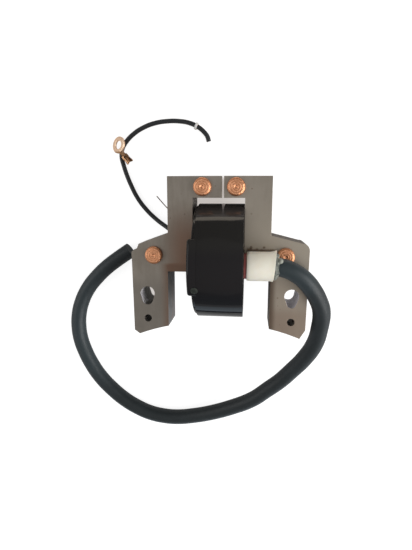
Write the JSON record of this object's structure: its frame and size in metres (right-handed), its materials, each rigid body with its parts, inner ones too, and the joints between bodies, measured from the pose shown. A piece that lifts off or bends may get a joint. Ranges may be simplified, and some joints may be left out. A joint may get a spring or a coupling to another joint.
{
  "type": "ignition coil",
  "caption": "Flywheel magneto ignition coil: riveted laminated core with slotted feet, round black coil, side tower, plug lead and stop wire.",
  "frame": {"origin": "middle of the core and coil across X and Y, at the level the coil's round back rests on", "axes": "+X across the feet towards the tower, +Y from the pole faces to the yoke, +Z out of the front of the core"},
  "size_m": [0.1174, 0.1443, 0.0457],
  "materials": {
    "lamination_steel": "bare rolled steel sheet with light oxide",
    "rivet_copper": "copper-coloured, spun bright on the head",
    "black_moulding": "black thermoset, glossy",
    "spool_plastic": "natural, satin",
    "winding_copper": "enamelled copper wire",
    "wrap_paper": "brown varnished paper",
    "potting_resin": "dark cast resin",
    "red_seal": "dull red",
    "cream_plastic": "cream, satin",
    "terminal_brass": "copper-washed sheet",
    "clear_sealant": "milky, half clear",
    "lead_rubber": "blue-black, satin",
    "wire_sleeve": "black, satin",
    "white_band": "white",
    "bare_copper": "tinned strand, dull"
  },
  "bodies": {
    "root": {"left_core_pack_1": "lamination_steel", "left_core_pack_2": "lamination_steel", "left_core_pack_3": "lamination_steel", "left_core_pack_4": "lamination_steel", "right_core_pack_1": "lamination_steel", "right_core_pack_2": "lamination_steel", "right_core_pack_3": "lamination_steel", "right_core_pack_4": "lamination_steel", "yoke_rivet_left": "rivet_copper", "foot_rivet_left": "rivet_copper", "yoke_rivet_right": "rivet_copper", "foot_rivet_right": "rivet_copper", "coil_cup": "black_moulding", "primary_spool": "spool_plastic", "primary_winding": "winding_copper", "secondary_spool": "spool_plastic", "secondary_winding": "winding_copper", "winding_wrap": "wrap_paper", "potting_resin": "potting_resin", "coil_wedge": "lamination_steel", "tower_seal_ring": "red_seal", "tower_tube": "cream_plastic", "contact_pin": "terminal_brass", "lead_sealant": "clear_sealant", "ht_lead": "lead_rubber", "wire_grommet": "lead_rubber", "stop_wire": "wire_sleeve", "marker_band": "white_band", "boss_filler": "clear_sealant", "ring_terminal": "terminal_brass", "ground_lead": "bare_copper"}
  },
  "joints": []
}
